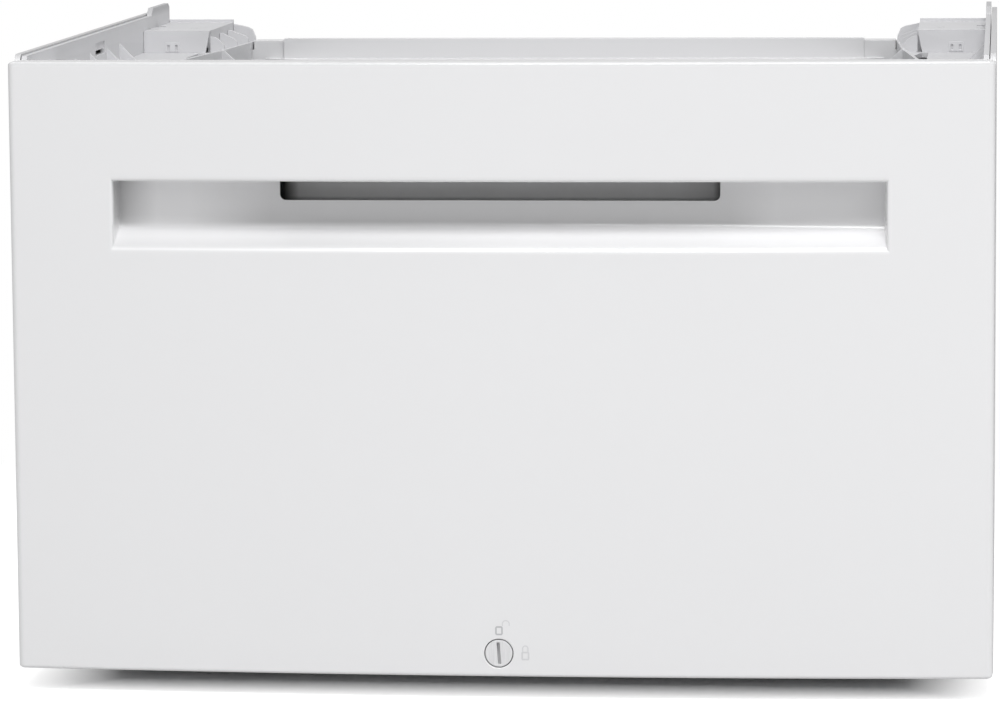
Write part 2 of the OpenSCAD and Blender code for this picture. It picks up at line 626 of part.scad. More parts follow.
left_side_panel();
right_side_panel();
rear_panel();
base_front_rail();
base_rear_rail();
base_left_rail();
base_right_rail();
front_cross_rail();
rear_cross_rail();
left_top_beam();
right_top_beam();
left_top_trim();
right_top_trim();
rear_left_platform();
rear_right_platform();
front_left_platform();
front_right_platform();
left_slide_bracket();
right_slide_bracket();
left_slide_cabinet_member();
right_slide_cabinet_member();
lock_strike_plate();
foot_weld_nuts();
foot_lock_nuts();
slide_rivets();
base_screws();
rear_panel_screws();
deck_screws();
left_slide_middle_member();
right_slide_middle_member();
left_outer_ball_cage();
right_outer_ball_cage();
left_inner_ball_cage();
right_inner_ball_cage();
drawer_front_panel();
drawer_inner_panel();
grip_pocket();
drawer_left_side();
drawer_right_side();
drawer_back();
drawer_floor();
left_slide_drawer_member();
right_slide_drawer_member();
lock_housing();
panel_screws();
drawer_screws();
drawer_bumpers();
lock_knob();
lock_cam();
lock_clip();
foot_front_left();
foot_front_right();
foot_rear_left();
foot_rear_right();
foot_pad_front_left();
foot_pad_front_right();
foot_pad_rear_left();
foot_pad_rear_right();
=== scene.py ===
import json
import math

import bmesh
import bpy
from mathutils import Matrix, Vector


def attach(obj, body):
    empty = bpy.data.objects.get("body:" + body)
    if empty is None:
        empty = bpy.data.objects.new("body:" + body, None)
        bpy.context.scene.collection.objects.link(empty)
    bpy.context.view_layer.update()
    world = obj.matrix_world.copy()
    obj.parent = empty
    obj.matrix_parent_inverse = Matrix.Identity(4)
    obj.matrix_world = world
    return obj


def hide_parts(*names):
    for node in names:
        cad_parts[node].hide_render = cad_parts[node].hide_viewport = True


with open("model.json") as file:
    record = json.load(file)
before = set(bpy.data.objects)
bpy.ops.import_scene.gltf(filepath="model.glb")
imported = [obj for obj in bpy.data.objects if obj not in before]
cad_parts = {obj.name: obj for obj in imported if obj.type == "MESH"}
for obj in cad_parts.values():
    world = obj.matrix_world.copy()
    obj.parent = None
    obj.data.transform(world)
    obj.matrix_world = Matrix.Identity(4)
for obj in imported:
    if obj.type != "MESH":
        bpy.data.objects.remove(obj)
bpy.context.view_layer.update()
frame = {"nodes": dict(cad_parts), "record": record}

N = frame["nodes"]
COL = bpy.context.scene.collection
MM = 0.001

# ---------------------------------------------------------------- sizes, mm
HW = 298.7          # half width of the front panel
Z0, Z1 = 14.0, 388.0
YF = -280.0         # crown
YB = -252.0         # back plane of the front panel
R = (299.0 ** 2 + 10.0 ** 2) / 20.0
RZ0, RZ1 = 275.0, 316.0      # recess, lower and upper edge
YW = YF + 22.0      # back wall of the recess
ZL = 28.6           # lock axis


def y_front(x):
    return YF + R - math.sqrt(R * R - x * x)


# ---------------------------------------------------------------- materials
def tree(name):
    m = bpy.data.materials.new(name)
    m.use_nodes = True
    nt = m.node_tree
    nt.nodes.clear()
    out = nt.nodes.new("ShaderNodeOutputMaterial")
    bsdf = nt.nodes.new("ShaderNodeBsdfPrincipled")
    nt.links.new(bsdf.outputs[0], out.inputs[0])
    return m, nt, bsdf


def node(nt, kind, **kw):
    n = nt.nodes.new(kind)
    for k, v in kw.items():
        if k in n.inputs:
            n.inputs[k].default_value = v
        else:
            setattr(n, k, v)
    return n


def noise(nt, vec, scale, detail=3.0, rough=0.55, seed=0.0):
    n = node(nt, "ShaderNodeTexNoise")
    n.noise_dimensions = "4D"
    n.inputs["Scale"].default_value = scale
    n.inputs["Detail"].default_value = detail
    n.inputs["Roughness"].default_value = rough
    n.inputs["W"].default_value = seed
    nt.links.new(vec, n.inputs["Vector"])
    return n.outputs["Fac"]


def ramp(nt, fac, stops):
    n = nt.nodes.new("ShaderNodeValToRGB")
    e = n.color_ramp.elements
    while len(e) < len(stops):
        e.new(0.5)
    for i, (p, c) in enumerate(stops):
        e[i].position = p
        e[i].color = (c, c, c, 1) if isinstance(c, float) else (*c, 1)
    nt.links.new(fac, n.inputs[0])
    return n.outputs["Color"]


def maprange(nt, fac, a, b, c, d):
    n = nt.nodes.new("ShaderNodeMapRange")
    for k, v in zip(("From Min", "From Max", "To Min", "To Max"), (a, b, c, d)):
        n.inputs[k].default_value = v
    nt.links.new(fac, n.inputs["Value"])
    return n.outputs["Result"]


def mixcol(nt, fac, a, b, mode="MIX"):
    n = nt.nodes.new("ShaderNodeMix")
    n.data_type = "RGBA"
    n.blend_type = mode
    if isinstance(fac, float):
        n.inputs[0].default_value = fac
    else:
        nt.links.new(fac, n.inputs[0])
    for i, v in ((6, a), (7, b)):
        if isinstance(v, tuple):
            n.inputs[i].default_value = (*v, 1)
        else:
            nt.links.new(v, n.inputs[i])
    return n.outputs[2]


def math_(nt, op, a, b=None):
    n = nt.nodes.new("ShaderNodeMath")
    n.operation = op
    for i, v in ((0, a), (1, b)):
        if v is None:
            continue
        if isinstance(v, (int, float)):
            n.inputs[i].default_value = v
        else:
            nt.links.new(v, n.inputs[i])
    return n.outputs[0]


def bump(nt, bsdf, height, strength, dist):
    n = nt.nodes.new("ShaderNodeBump")
    n.inputs["Strength"].default_value = strength
    n.inputs["Distance"].default_value = dist
    nt.links.new(height, n.inputs["Height"])
    nt.links.new(n.outputs[0], bsdf.inputs["Normal"])
    return n


def coords(nt):
    return nt.nodes.new("ShaderNodeTexCoord").outputs["Object"]


def stretched(nt, vec, scale):
    n = nt.nodes.new("ShaderNodeMapping")
    n.inputs["Scale"].default_value = scale
    nt.links.new(vec, n.inputs["Vector"])
    return n.outputs[0]


def edges(nt, lo=0.51, hi=0.56):
    """1 on rubbed convex edges, 0 elsewhere."""
    g = nt.nodes.new("ShaderNodeNewGeometry")
    return maprange(nt, g.outputs["Pointiness"], lo, hi, 0.0, 1.0)


def moulded(name, col, rough, grain=900.0, grain_h=0.00003, var=0.03, dirt=0.06, edge=1.03, spec=0.5, up_shade=0.0, rim=0.0):
    """Moulded or painted finish: broad tone drift, fine grain, random dust patches, rubbed edges; optional painted
    shade on upward faces and on a band at the top edge.
    """
    m, nt, b = tree(name)
    v = coords(nt)
    broad = noise(nt, v, 4.0, 2.0, 0.5, 1.3)
    fine = noise(nt, v, 60.0, 4.0, 0.6, 2.1)
    k = math_(nt, "ADD", math_(nt, "MULTIPLY", broad, 0.7), math_(nt, "MULTIPLY", fine, 0.3))
    base = ramp(nt, k, [(0.3, tuple(c * (1 - var) for c in col)), (0.7, tuple(min(1, c * (1 + var * 0.4)) for c in col))])
    dust = ramp(nt, noise(nt, v, 18.0, 5.0, 0.7, 5.0), [(0.5, 0.0), (0.85, 1.0)])
    dusty = mixcol(nt, math_(nt, "MULTIPLY", dust, dirt), base, tuple(c * 0.86 for c in col))
    surface_tone = mixcol(nt, edges(nt), dusty, tuple(min(1.0, c * edge) for c in col))
    # painted shade: faces that point upwards are darkened towards 40 % of the colour
    if up_shade:
        up = nt.nodes.new("ShaderNodeSeparateXYZ")
        nt.links.new(node(nt, "ShaderNodeNewGeometry").outputs["Normal"], up.inputs[0])
        surface_tone = mixcol(nt, maprange(nt, up.outputs[2], 0.35, 0.95, 0.0, up_shade), surface_tone, tuple(c * 0.4 for c in col))
    # painted shade: a band 388.5 to 392.5 mm up, at the top edges and tabs of the trims, is darkened towards 40 % of
    # the colour
    if rim:
        at = nt.nodes.new("ShaderNodeSeparateXYZ")
        nt.links.new(v, at.inputs[0])
        surface_tone = mixcol(nt, maprange(nt, at.outputs[2], 0.3885, 0.3925, 0.0, rim), surface_tone, tuple(c * 0.4 for c in col))
    nt.links.new(surface_tone, b.inputs["Base Color"])
    nt.links.new(maprange(nt, noise(nt, v, 35.0, 4.0, 0.6, 7.0), 0.3, 0.7, rough * 0.9, rough * 1.12), b.inputs["Roughness"])
    b.inputs["Specular IOR Level"].default_value = spec
    bump(nt, b, noise(nt, v, grain, 2.0, 0.6, 3.0), 0.35, grain_h)
    return m


def gloss_white(name, col, rough=0.24, coat=0.25, recess=False, hem_shade=False):
    """Glossy white front: slight orange peel, very faint tone drift; optional painted shade in the handle recess, on
    the panel's upper rim and on a sheet's folded top edge.
    """
    m, nt, b = tree(name)
    v = coords(nt)
    broad = noise(nt, v, 3.2, 2.0, 0.5, 4.4)
    base = ramp(nt, broad, [(0.3, tuple(c * 0.985 for c in col)), (0.7, col)])
    if recess:
        # painted shade in the handle recess: its back wall is darkened, most under the finger slot and towards its
        # foot, and so are its ends and its left corner
        sep = nt.nodes.new("ShaderNodeSeparateXYZ")
        nt.links.new(v, sep.inputs[0])
        deep = maprange(nt, sep.outputs[1], YW * MM - 0.0022, YW * MM - 0.0004, 0.0, 1.0)
        low = maprange(nt, sep.outputs[2], 0.2900, 0.313, 1.0, 0.55)
        crown = math_(nt, "MULTIPLY", math_(nt, "MULTIPLY", sep.outputs[0], sep.outputs[0]), -1.0 / 8.95)
        sunk = math_(nt, "ADD", math_(nt, "ADD", sep.outputs[1], 0.280), crown)
        inside_shade = maprange(nt, sunk, 0.0015, 0.0055, 0.0, 1.0)
        side = math_(nt, "ABSOLUTE", sep.outputs[0])
        end = math_(nt, "MULTIPLY", maprange(nt, side, 0.2306, 0.2318, 0.0, 1.0),
                    maprange(nt, sep.outputs[0], -0.1, 0.1, 1.0, 0.25))
        left = maprange(nt, sep.outputs[0], -0.2322, -0.2080, 1.0, 0.0)
        middle = math_(nt, "MAXIMUM", maprange(nt, side, 0.1400, 0.1900, 1.0, 0.10),
                       maprange(nt, sep.outputs[0], 0.02, 0.12, 0.0, 0.50))
        band = math_(nt, "MULTIPLY", maprange(nt, sep.outputs[2], 0.2850, 0.2930, 0.0, 1.0),
                     maprange(nt, sep.outputs[2], 0.3145, 0.3160, 1.0, 0.0))
        wall = math_(nt, "MAXIMUM", math_(nt, "MULTIPLY", low, middle), left)
        tone = math_(nt, "MAXIMUM", math_(nt, "MULTIPLY", deep, wall), math_(nt, "MULTIPLY", math_(nt, "MULTIPLY", end, inside_shade), band))
        within = math_(nt, "MULTIPLY", maprange(nt, side, 0.2365, 0.2380, 1.0, 0.0),
                       math_(nt, "MULTIPLY", maprange(nt, sep.outputs[2], 0.2725, 0.2735, 0.0, 1.0),
                             maprange(nt, sep.outputs[2], 0.3175, 0.3185, 1.0, 0.0)))
        tone = math_(nt, "MULTIPLY", tone, within)
        shade_amount = math_(nt, "ADD", math_(nt, "MULTIPLY", left, 0.13), 0.47)
        base = mixcol(nt, math_(nt, "MULTIPLY", tone, shade_amount), base, tuple(c * 0.30 for c in col))
        # painted shade on the sloped floor: darkened towards its left end and just above its front lip
        floor_shade = math_(nt, "ADD", maprange(nt, sep.outputs[0], -0.12, 0.02, 0.18, 0.0),
                        maprange(nt, sep.outputs[2], 0.2768, 0.2815, 0.16, 0.0))
        floor_shade = math_(nt, "MULTIPLY", maprange(nt, sunk, 0.0003, 0.0011, 0.0, 1.0),
                        math_(nt, "MULTIPLY", maprange(nt, sep.outputs[2], 0.2875, 0.2915, 1.0, 0.0), floor_shade))
        base = mixcol(nt, math_(nt, "MULTIPLY", floor_shade, within), base, tuple(c * 0.45 for c in col))
        # painted shade: the upper rim of the panel is darkened a little
        base = mixcol(nt, maprange(nt, sep.outputs[2], 0.3856, 0.3872, 0.0, 0.30), base, tuple(c * 0.30 for c in col))
    elif hem_shade:
        # painted shade: the folded top edge of the side sheet is darkened to grey
        sep = nt.nodes.new("ShaderNodeSeparateXYZ")
        nt.links.new(v, sep.inputs[0])
        base = mixcol(nt, maprange(nt, sep.outputs[2], 0.3870, 0.3905, 0.0, 1.0), base, (0.50, 0.50, 0.51))
    else:
        base = mixcol(nt, edges(nt, 0.52, 0.6), base, tuple(min(1.0, c * 1.03) for c in col))
    nt.links.new(base, b.inputs["Base Color"])
    nt.links.new(maprange(nt, noise(nt, v, 22.0, 4.0, 0.6, 6.0), 0.1, 0.9, rough * 0.95, rough * 1.05), b.inputs["Roughness"])
    b.inputs["Specular IOR Level"].default_value = 0.5
    b.inputs["Coat Weight"].default_value = coat
    b.inputs["Coat Roughness"].default_value = 0.12
    peel = math_(nt, "ADD", noise(nt, v, 210.0, 2.0, 0.5, 8.0), math_(nt, "MULTIPLY", noise(nt, v, 11.0, 2.0, 0.5, 9.0), 2.0))
    bump(nt, b, peel, 0.10, 0.00004)
    return m


def galvanised(name):
    """Zinc-coated sheet with spangle."""
    m, nt, b = tree(name)
    v = coords(nt)
    vor = node(nt, "ShaderNodeTexVoronoi")
    vor.inputs["Scale"].default_value = 190.0
    warp = mixcol(nt, 0.012, v, noise_col(nt, v, 40.0))
    nt.links.new(warp, vor.inputs["Vector"])
    cell = nt.nodes.new("ShaderNodeSeparateColor")
    nt.links.new(vor.outputs["Color"], cell.inputs[0])
    tone = math_(nt, "ADD", math_(nt, "MULTIPLY", cell.outputs[0], 0.6), math_(nt, "MULTIPLY", noise(nt, v, 9.0, 4.0, 0.6, 1.0), 0.4))
    base = ramp(nt, tone, [(0.15, (0.60, 0.615, 0.63)), (0.55, (0.66, 0.675, 0.69)), (0.9, (0.73, 0.74, 0.75))])
    nt.links.new(base, b.inputs["Base Color"])
    b.inputs["Metallic"].default_value = 1.0
    nt.links.new(maprange(nt, cell.outputs[1], 0.0, 1.0, 0.40, 0.50), b.inputs["Roughness"])
    bump(nt, b, math_(nt, "ADD", math_(nt, "MULTIPLY", cell.outputs[2], 0.4), noise(nt, v, 500.0, 2.0, 0.5, 2.0)), 0.2, 0.00003)
    return m


def noise_col(nt, vec, scale):
    n = node(nt, "ShaderNodeTexNoise")
    n.inputs["Scale"].default_value = scale
    n.inputs["Detail"].default_value = 3.0
    nt.links.new(vec, n.inputs["Vector"])
    return n.outputs["Color"]


def plated(name, col=(0.66, 0.67, 0.69), rough=0.28, grain=(40.0, 1600.0, 1600.0)):
    """Zinc-plated or rolled steel: fine drawing lines, blotchy sheen, brighter rubbed edges."""
    m, nt, b = tree(name)
    v = coords(nt)
    lines = noise(nt, stretched(nt, v, grain), 1.0, 3.0, 0.6, 3.0)
    blot = noise(nt, v, 28.0, 4.0, 0.6, 5.0)
    base = ramp(nt, math_(nt, "ADD", math_(nt, "MULTIPLY", lines, 0.4), math_(nt, "MULTIPLY", blot, 0.6)),
                [(0.3, tuple(c * 0.82 for c in col)), (0.7, tuple(min(1, c * 1.08) for c in col))])
    surface_tone = mixcol(nt, edges(nt, 0.51, 0.57), base, tuple(min(1, c * 1.2) for c in col))
    nt.links.new(surface_tone, b.inputs["Base Color"])
    b.inputs["Metallic"].default_value = 1.0
    nt.links.new(maprange(nt, lines, 0.3, 0.7, rough * 0.8, rough * 1.3), b.inputs["Roughness"])
    bump(nt, b, lines, 0.25, 0.00002)
    return m


def rubber(name):
    m, nt, b = tree(name)
    v = coords(nt)
    k = noise(nt, v, 120.0, 5.0, 0.65, 2.0)
    base = ramp(nt, k, [(0.3, (0.014, 0.014, 0.015)), (0.75, (0.035, 0.035, 0.036))])
    dusty = mixcol(nt, math_(nt, "MULTIPLY", edges(nt, 0.5, 0.58), 0.5), base, (0.09, 0.09, 0.088))
    nt.links.new(dusty, b.inputs["Base Color"])
    nt.links.new(maprange(nt, k, 0.3, 0.7, 0.68, 0.85), b.inputs["Roughness"])
    bump(nt, b, noise(nt, v, 1400.0, 2.0, 0.6, 3.0), 0.4, 0.00004)
    return m


def pocket(name):
    """Grey grip insert with painted shade: darkened at the foot of its back wall and near black at its ends."""
    m, nt, b = tree(name)
    v = coords(nt)
    sep = nt.nodes.new("ShaderNodeSeparateXYZ")
    nt.links.new(v, sep.inputs[0])
    # painted shade: the colour runs from darkened grey at the foot up to light grey at the top
    up = maprange(nt, sep.outputs[2], 0.3005, 0.3105, 0.0, 1.0)
    base = ramp(nt, up, [(0.0, (0.26, 0.26, 0.263)), (0.30, (0.90, 0.90, 0.905)), (1.0, (0.95, 0.95, 0.955))])
    # painted shade: both ends of the insert go near black
    right = maprange(nt, sep.outputs[0], 0.1285, 0.1335, 0.0, 0.85)
    dark = math_(nt, "MAXIMUM", maprange(nt, sep.outputs[0], -0.1345, -0.1255, 1.0, 0.0), right)
    base = mixcol(nt, dark, base, (0.012, 0.012, 0.012))
    k = noise(nt, v, 140.0, 4.0, 0.6, 2.0)
    toned = mixcol(nt, math_(nt, "MULTIPLY", k, 0.07), base, (0.02, 0.02, 0.02))
    nt.links.new(toned, b.inputs["Base Color"])
    nt.links.new(maprange(nt, k, 0.3, 0.7, 0.5, 0.6), b.inputs["Roughness"])
    bump(nt, b, noise(nt, v, 1100.0, 2.0, 0.6, 3.0), 0.3, 0.00003)
    return m


def brushed_knob(name):
    """Satin grey knob with fine upright brushing; painted shade makes the depth of its coin slot a little darker."""
    m, nt, b = tree(name)
    v = coords(nt)
    streak = noise(nt, stretched(nt, v, (1900.0, 40.0, 60.0)), 1.0, 3.0, 0.6, 3.0)
    base = ramp(nt, streak, [(0.3, (0.70, 0.70, 0.71)), (0.7, (0.82, 0.82, 0.83))])
    sep = nt.nodes.new("ShaderNodeSeparateXYZ")
    nt.links.new(v, sep.inputs[0])
    # painted shade deeper in the coin slot
    inside_shade = maprange(nt, sep.outputs[1], -0.2793, -0.2788, 0.0, 1.0)
    base = mixcol(nt, math_(nt, "MULTIPLY", inside_shade, 0.35), base, (0.22, 0.22, 0.225))
    nt.links.new(base, b.inputs["Base Color"])
    nt.links.new(maprange(nt, streak, 0.3, 0.7, 0.30, 0.42), b.inputs["Roughness"])
    bump(nt, b, streak, 0.35, 0.00003)
    return m


M_FRONT = gloss_white("front_gloss_white", (0.84, 0.84, 0.85), recess=True)
M_PAINT = gloss_white("white_enamel", (0.74, 0.74, 0.75), 0.34, 0.1)
M_SIDE = gloss_white("side_enamel", (0.74, 0.74, 0.75), 0.34, 0.1, hem_shade=True)
M_RAIL = gloss_white("rear_rail_enamel", (0.68, 0.68, 0.69), 0.36, 0.1)
M_GREY = moulded("light_grey_moulding", (0.62, 0.62, 0.635), 0.46, 700.0, 0.00004, 0.03, 0.10, 1.03, 0.5, 0.16, 0.38)
M_LOCK = moulded("lock_grey", (0.70, 0.70, 0.71), 0.38, 900.0, 0.00002, 0.03, 0.05, 1.06)
# painted shade: the sleeve seen in the gap round the knob is darkened towards its top
nt_ = M_LOCK.node_tree                  # the sleeve darkens towards its top
at_ = nt_.nodes.new("ShaderNodeSeparateXYZ")
nt_.links.new(coords(nt_), at_.inputs[0])
bs_ = [n for n in nt_.nodes if n.type == "BSDF_PRINCIPLED"][0]
was_ = bs_.inputs["Base Color"].links[0].from_socket
nt_.links.new(mixcol(nt_, maprange(nt_, at_.outputs[2], (ZL - 5.0) * MM, (ZL + 5.0) * MM, 0.0, 0.85), was_, (0.05, 0.05, 0.05)), bs_.inputs["Base Color"])
M_POCKET = pocket("grip_insert")
M_ZINC = galvanised("galvanised_sheet")
M_STEEL = plated("plated_steel", (0.66, 0.67, 0.69), 0.27, (1600.0, 40.0, 1600.0))
M_SCREW = plated("screw_zinc", (0.72, 0.73, 0.75), 0.3, (900.0, 900.0, 900.0))
M_RUBBER = rubber("black_rubber")
M_KNOB = brushed_knob("knob_grey")
M_PRINT = moulded("symbol_grey", (0.50, 0.50, 0.515), 0.5, 900.0, 0.00001, 0.05, 0.1, 1.0)
M_PRINT_FAINT = moulded("symbol_faint", (0.66, 0.66, 0.675), 0.5, 900.0, 0.00001, 0.04, 0.1, 1.0)

SLOTS = {"white_gloss_front": M_FRONT, "white_paint": M_PAINT, "grey_moulding": M_GREY, "lock_plastic": M_LOCK,
         "dark_plastic": M_POCKET, "galvanised_sheet": M_ZINC, "bright_steel": M_STEEL, "black_rubber": M_RUBBER}
SUB = {s["node"]: s["material_slot"] for s in frame["record"]["subparts"]}


def set_mat(o, m):
    if o.data.materials:
        for i in range(len(o.data.materials)):
            o.data.materials[i] = m
    else:
        o.data.materials.append(m)


# ---------------------------------------------------------------- CAD nodes: finish and soft edges
EDGE = {"grey_moulding": 0.0006, "white_paint": 0.0004, "galvanised_sheet": 0.00025, "bright_steel": 0.0002,
        "lock_plastic": 0.0004, "black_rubber": 0.0006, "dark_plastic": 0.0005, "white_gloss_front": 0.0008}
for name, o in N.items():
    s = SUB[name]
    set_mat(o, M_SCREW if "screw" in name or "rivet" in name or "nut" in name else M_RAIL if name == "rear_cross_rail"
            else M_SIDE if name.endswith("side_panel") else SLOTS[s])
    w = o.modifiers.new("weld", "WELD")
    w.merge_threshold = 0.000004
    d = o.modifiers.new("flat", "DECIMATE")
    d.decimate_type = "DISSOLVE"
    d.angle_limit = math.radians(0.6)
    if name == "lock_clip":
        continue
    b = o.modifiers.new("edges", "BEVEL")
    b.width = EDGE[s]
    b.segments = 2
    b.limit_method = "ANGLE"
    b.angle_limit = math.radians(32)
    b.harden_normals = False
    n = o.modifiers.new("normals", "WEIGHTED_NORMAL")
    n.keep_sharp = True


# ---------------------------------------------------------------- mesh helpers
def new_object(name, bm, mat, body, angle=35):
    me = bpy.data.meshes.new(name)
    bmesh.ops.recalc_face_normals(bm, faces=bm.faces)
    bm.to_mesh(me)
    bm.free()
    for p in me.polygons:
        p.use_smooth = True
    me.set_sharp_from_angle(angle=math.radians(angle))
    o = bpy.data.objects.new(name, me)
    COL.objects.link(o)
    me.materials.append(mat)
    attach(o, body)
    return o


def apply_modifiers(o):
    dg = bpy.context.evaluated_depsgraph_get()
    me = bpy.data.meshes.new_from_object(o.evaluated_get(dg))
    old = o.data
    o.modifiers.clear()
    o.data = me
    bpy.data.meshes.remove(old)


def lines(*parts):
    """Merged, sorted coordinates of several (start, end, count) runs."""
    vals = set()
    for a, b, n in parts:
        for i in range(n + 1):
            vals.add(round(a + (b - a) * i / n, 4))
    return sorted(vals)


# ---------------------------------------------------------------- front panel
SLOT_X = 134.0
SLOT_Z = 303.0
SLOT_R = 3.6


def front_panel():
    # columns, symmetric
    half = lines((0, 12, 6), (12, 126, 10), (126, 130.4, 2), (SLOT_X - SLOT_R, SLOT_X, 4), (134, 138, 2), (138, 222, 8),
                 (222, 231, 6), (231, 236.2, 40), (236.2, 237.4, 4), (237.4, 240, 2), (240, 290, 6), (290, 294.7, 3))
    xs = sorted(set([-x for x in half] + half))
    # rows: (z, depth at the centre), from the top edge down
    D = 22.0
    rl, rf = 1.9, 2.4
    rows = [(z, 0.0) for z in (386.0, 384.5, 380, 372, 362, 350, 338, 328, 322, 319.5)]
    for i in range(1, 8):                                    # lip of the roof
        a = math.pi / 2 * i / 7
        rows.append((RZ1 + rl - rl * math.sin(a), rl - rl * math.cos(a)))
    for i in range(1, 7):                                    # roof
        t = i / 6
        rows.append((RZ1 - 0.35 * t, rl + (D - rf - rl) * t))
    for i in range(1, 6):                                    # roof to back wall
        a = math.pi / 2 * i / 5
        rows.append((RZ1 - 0.35 - rf + rf * math.cos(a), D - rf + rf * math.sin(a)))
    for z in (311.5, 309.5, SLOT_Z + SLOT_R, SLOT_Z + SLOT_R * 0.75, SLOT_Z + SLOT_R * 0.5, SLOT_Z + SLOT_R * 0.25,
              SLOT_Z, 301.5, 299.0, 296.5, 293.8):
        rows.append((z, D))
    # back wall to sloped floor: fillet
    slope = math.radians(29.5)                               # floor's angle off the horizontal
    rfl = 8.0
    czf, cd = 287.81 + 0.5825 * rfl, D - rfl
    for i in range(1, 9):
        a = (math.pi / 2 - slope) * i / 8
        rows.append((czf - rfl * math.sin(a), cd + rfl * math.cos(a)))
    ez, ed = rows[-1]
    # floor down to the front lip
    fl = 2.2                                                 # lip radius
    fz, fd = RZ0 + 1.1, 1.35
    for i in range(1, 7):
        t = i / 6
        rows.append((ez + (fz - ez) * t, ed + (fd - ed) * t))
    for i in range(1, 7):
        t = i / 6
        a = t * math.pi / 2
        rows.append((fz - 2.0 * math.sin(a) * 1.0, fd * (1 - math.sin(a)) ** 1.0 * (1 - 0.0 * t)))
    rows += [(z, 0.0) for z in (272.0, 268, 260, 250, 238, 224, 208, 190, 172, 154, 136, 118, 100, 84, 68, 55, 46)]
    lo, hi = ZL - 12.0, ZL + 12.0
    for i in range(13):
        rows.append((hi - 2.0 * i, 0.0))
    rows.append((16.2, 0.0))
    rows = [(max(16.0, z), d) for z, d in rows]
    nx, nr = len(xs), len(rows)

    def side(x):
        t = 234.7 - abs(x)
        return 10.0 * (math.sqrt(t * t + 0.14) + t) / 2

    def depth(x, d):
        d = d * (YW - y_front(x)) / D
        if d <= 0:
            return 0.0
        s = side(x) - 0.22 if abs(x) > 228 else 1e3
        s = max(s, 0.0)
        k = min(5.0, d, s)
        if k <= 1e-6:
            return 0.0
        h = min(1.0, max(0.0, 0.5 + 0.5 * (s - d) / k))
        return s + (d - s) * h - k * h * (1 - h)

    bm = bmesh.new()
    V = [[bm.verts.new((x * MM, (y_front(x) + depth(x, d)) * MM, z * MM)) for (z, d) in rows] for x in xs]
    ix = {x: i for i, x in enumerate(xs)}
    # hole limits in the grid
    sl, sr = ix[-SLOT_X], ix[SLOT_X]
    s_bot = [j for j, (z, d) in enumerate(rows) if z == SLOT_Z and d == D][0]
    s_top = [j for j, (z, d) in enumerate(rows) if z < RZ1 and d > D - 8.0][0]
    l0, l1 = ix[-12.0], ix[12.0]
    j_hi = [j for j, (z, d) in enumerate(rows) if abs(z - hi) < 1e-6][0]
    j_lo = j_hi + 12
    for i in range(nx - 1):
        for j in range(nr - 1):
            if sl <= i < sr and s_top <= j < s_bot and not (i >= sr - 2 and j < s_top + 3):
                continue
            if ix[-138] <= i < sl and s_top <= j < s_top + 3:
                continue
            if l0 <= i < l1 and j_hi <= j < j_lo:
                continue
            bm.faces.new((V[i][j], V[i + 1][j], V[i + 1][j + 1], V[i][j + 1]))
    # rounded lower corners of the finger slot
    c0 = [j for j, (z, d) in enumerate(rows) if abs(z - (SLOT_Z + SLOT_R)) < 1e-6 and d == D][0]
    for sgn in (-1, 1):
        e = ix[sgn * SLOT_X]
        inner = ix[sgn * round(SLOT_X - SLOT_R, 4)]
        step = 1 if inner > e else -1
        path = [V[e][j] for j in range(c0, s_bot + 1)] + [V[i][s_bot] for i in range(e + step, inner + step, step)]
        cx, cz = sgn * (SLOT_X - SLOT_R), SLOT_Z + SLOT_R
        arc = []
        for k in range(len(path)):
            a = math.pi / 2 * k / (len(path) - 1)
            arc.append((cx + sgn * SLOT_R * math.cos(a), cz - SLOT_R * math.sin(a)))
        vs = [path[0]] + [bm.verts.new((p[0] * MM, YW * MM, p[1] * MM)) for p in arc[1:-1]] + [path[-1]]
        for k in range(len(path) - 1):
            f = [path[k], path[k + 1], vs[k + 1], vs[k]]
            f = [v for n_, v in enumerate(f) if v not in f[:n_]]
            bm.faces.new(f)
    # round lock hole in its square patch
    ring = [V[i][j_hi] for i in range(l0, l1)] + [V[l1][j] for j in range(j_hi, j_lo)] + \
           [V[i][j_lo] for i in range(l1, l0, -1)] + [V[l0][j] for j in range(j_lo, j_hi, -1)]
    n = len(ring)
    prev = ring
    ang = [math.atan2(v.co.z / MM - ZL, v.co.x / MM) for v in ring]
    for rr, dy in ((10.6, 0.0), (9.5, 0.0), (9.25, 0.03), (9.03, 0.16), (8.9, 0.45)):
        cur = [bm.verts.new((rr * math.cos(a) * MM, (y_front(rr * math.cos(a)) + dy) * MM, (ZL + rr * math.sin(a)) * MM)) for a in ang]
        for k in range(n):
            bm.faces.new((prev[k], prev[(k + 1) % n], cur[(k + 1) % n], cur[k]))
        prev = cur
